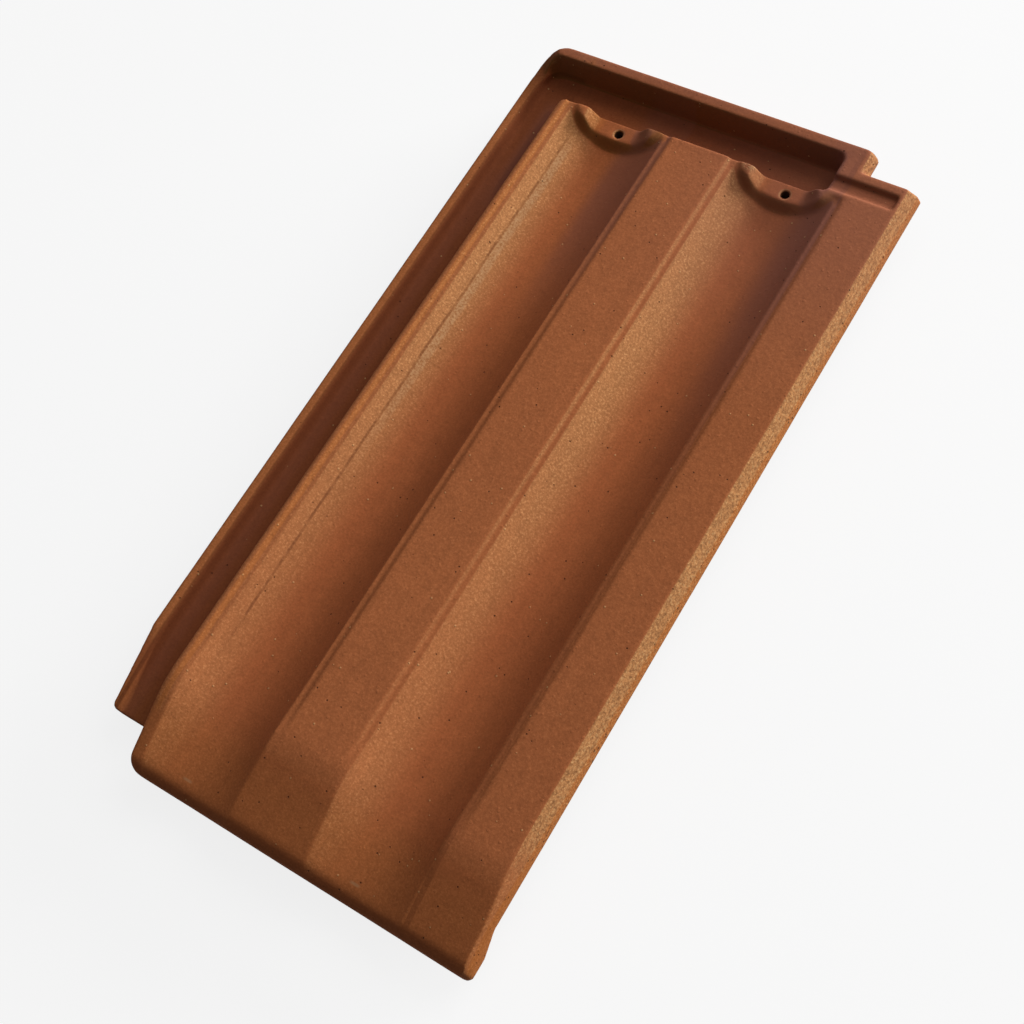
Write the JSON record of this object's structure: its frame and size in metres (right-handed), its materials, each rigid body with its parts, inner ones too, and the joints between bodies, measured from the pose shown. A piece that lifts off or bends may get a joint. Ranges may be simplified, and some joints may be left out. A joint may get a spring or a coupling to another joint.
{
  "type": "interlocking clay roof tile",
  "caption": "Double-trough interlocking clay roof tile with side lock, head channel and rib, nail tabs, cover lap and batten nibs.",
  "frame": {"origin": "middle of the tile's length and width, level with the underside of the batten nibs", "axes": "+X from the side lock to the cover lap, +Y up the slope from the foot to the head, +Z out of the weather side"},
  "size_m": [0.218, 0.43, 0.038],
  "materials": {
    "fired_clay": "matte"
  },
  "bodies": {
    "root": {"roof_tile": "fired_clay"}
  },
  "joints": []
}
